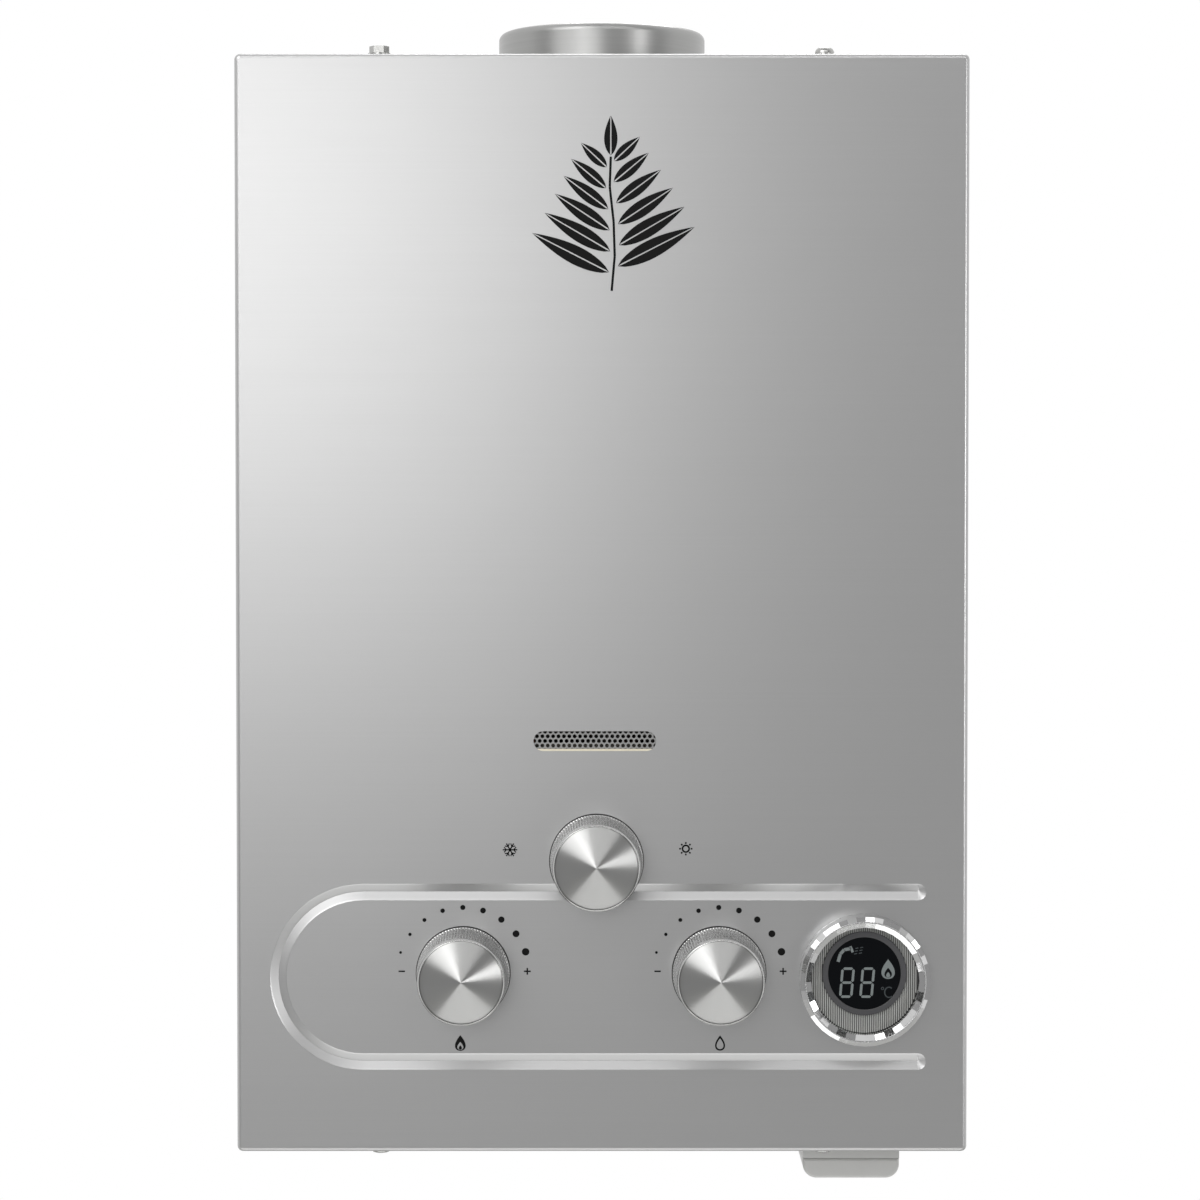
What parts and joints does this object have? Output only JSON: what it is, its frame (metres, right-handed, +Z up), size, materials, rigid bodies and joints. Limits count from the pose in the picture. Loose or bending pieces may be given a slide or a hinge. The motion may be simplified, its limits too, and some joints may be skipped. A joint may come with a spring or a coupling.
{
  "type": "tankless gas water heater",
  "caption": "Wall-hung tankless gas water heater with a sheet steel casing, round flue collar, turning control knobs, temperature display and hinged battery lid.",
  "frame": {"origin": "on the wall plane, in the middle of the four wall screw holes, which is the middle of the casing", "axes": "+Z up, +Y into the wall, so the front faces -Y, and +X to the right as seen from the front"},
  "size_m": [0.34, 0.1663, 0.5468],
  "materials": {
    "casing_steel": "stainless sheet, brushed level, satin",
    "zinc_sheet": "galvanised sheet, dull",
    "collar_steel": "rolled sheet, satin",
    "hood_sheet": "aluminised sheet, dull",
    "screw_steel": "zinc plated",
    "copper": "bare copper, slightly dulled",
    "brass": "turned brass",
    "cast_alloy": "die-cast, matt",
    "burner_steel": "pressed stainless, dull",
    "knob_silver": "metal-plated plastic, ribbed grip",
    "knob_disc": "spun face",
    "spindle_steel": "turned steel",
    "bezel_chrome": "chrome-plated plastic",
    "dial_grey": "finely ribbed, silver grey",
    "lens_black": "gloss",
    "display_shell": "matt",
    "mesh_dark": "dark, matt",
    "battery_grey": "silver grey, satin",
    "cell_jacket": "plain metal jacket, satin",
    "rubber_black": "matt",
    "ceramic_white": "glazed ceramic rod with a wire tip",
    "lead_silicone": "silicone sleeve, matt",
    "control_white": "matt",
    "switch_black": "matt",
    "plunger_red": "matt",
    "solenoid_black": "matt coil case"
  },
  "bodies": {
    "casing": {"front_cover": "casing_steel", "left_side": "casing_steel", "right_side": "casing_steel", "top_panel": "casing_steel", "bottom_panel": "casing_steel", "back_plate": "zinc_sheet", "sight_mesh": "mesh_dark", "cover_screws_top": "screw_steel", "cover_screws_bottom": "screw_steel", "flue_collar": "collar_steel", "collar_screws": "screw_steel", "exhaust_hood": "hood_sheet", "combustion_shell": "copper", "heat_fins": "copper", "exchanger_tube": "copper", "cold_feed_pipe": "copper", "hot_pipe": "copper", "burner_rack": "burner_steel", "burner_bars": "burner_steel", "gas_manifold": "cast_alloy", "injector_jets": "brass", "segment_valve": "cast_alloy", "gas_valve_body": "cast_alloy", "gas_solenoid": "solenoid_black", "rod_gland": "brass", "plug_spring": "spindle_steel", "microswitch": "switch_black", "water_valve_body": "cast_alloy", "diaphragm_housing": "cast_alloy", "diaphragm": "rubber_black", "diaphragm_cover": "cast_alloy", "gas_inlet": "brass", "cold_inlet": "brass", "hot_outlet": "brass", "support_brackets": "zinc_sheet", "valve_bracket": "zinc_sheet", "electrodes": "ceramic_white", "electrode_leads": "lead_silicone", "control_box": "control_white", "battery_box": "battery_grey", "battery_hinge_pin": "spindle_steel", "battery_cells": "cell_jacket", "display_bezel": "bezel_chrome", "display_housing": "display_shell", "display_dial": "dial_grey", "display_lens": "lens_black"},
    "gas_control": {"gas_knob_skirt": "knob_silver", "gas_knob_face": "knob_disc", "gas_spindle": "spindle_steel"},
    "water_control": {"water_knob_skirt": "knob_silver", "water_knob_face": "knob_disc", "water_spindle": "spindle_steel"},
    "mode_control": {"mode_knob_skirt": "knob_silver", "mode_knob_face": "knob_disc", "mode_spindle": "spindle_steel"},
    "battery_door": {"battery_lid": "battery_grey"},
    "rod": {"push_rod": "brass"},
    "plunger": {"switch_plunger": "plunger_red"},
    "drain": {"drain_plug": "brass"}
  },
  "joints": [
    {"name": "gas_knob_turn", "type": "hinge", "parent": "casing", "child": "gas_control", "pos_m": [-0.06452, -0.141, -0.1714], "axis": [0, 1, 0], "range_deg": [0, 143]},
    {"name": "water_knob_turn", "type": "hinge", "parent": "casing", "child": "water_control", "pos_m": [0.05448, -0.141, -0.1714], "axis": [0, 1, 0], "range_deg": [0, 143]},
    {"name": "mode_knob_turn", "type": "hinge", "parent": "casing", "child": "mode_control", "pos_m": [-0.00252, -0.141, -0.119], "axis": [0, 1, 0], "range_deg": [0, 90]},
    {"name": "battery_lid_hinge", "type": "hinge", "parent": "casing", "child": "battery_door", "pos_m": [0.118, -0.0328, -0.266], "axis": [1, 0, 0], "range_deg": [0, 95]},
    {"name": "push_rod_slide", "type": "slide", "parent": "casing", "child": "rod", "axis": [-1, 0, 0], "range_m": [0, 0.003], "stiffness_N_per_m": 300, "springref_m": -0.002, "deforming": ["plug_spring"]},
    {"name": "switch_plunger_slide", "type": "slide", "parent": "casing", "child": "plunger", "axis": [-1, 0, 0], "range_m": [0, 0.0015]},
    {"name": "drain_plug_turn", "type": "hinge", "parent": "casing", "child": "drain", "pos_m": [0.04648, -0.098, -0.25], "axis": [0, 0, -1], "range_deg": [0, 720]}
  ],
  "couplings": [
    {"joint": "switch_plunger_slide", "follows": "push_rod_slide", "ratio": 0.5}
  ]
}
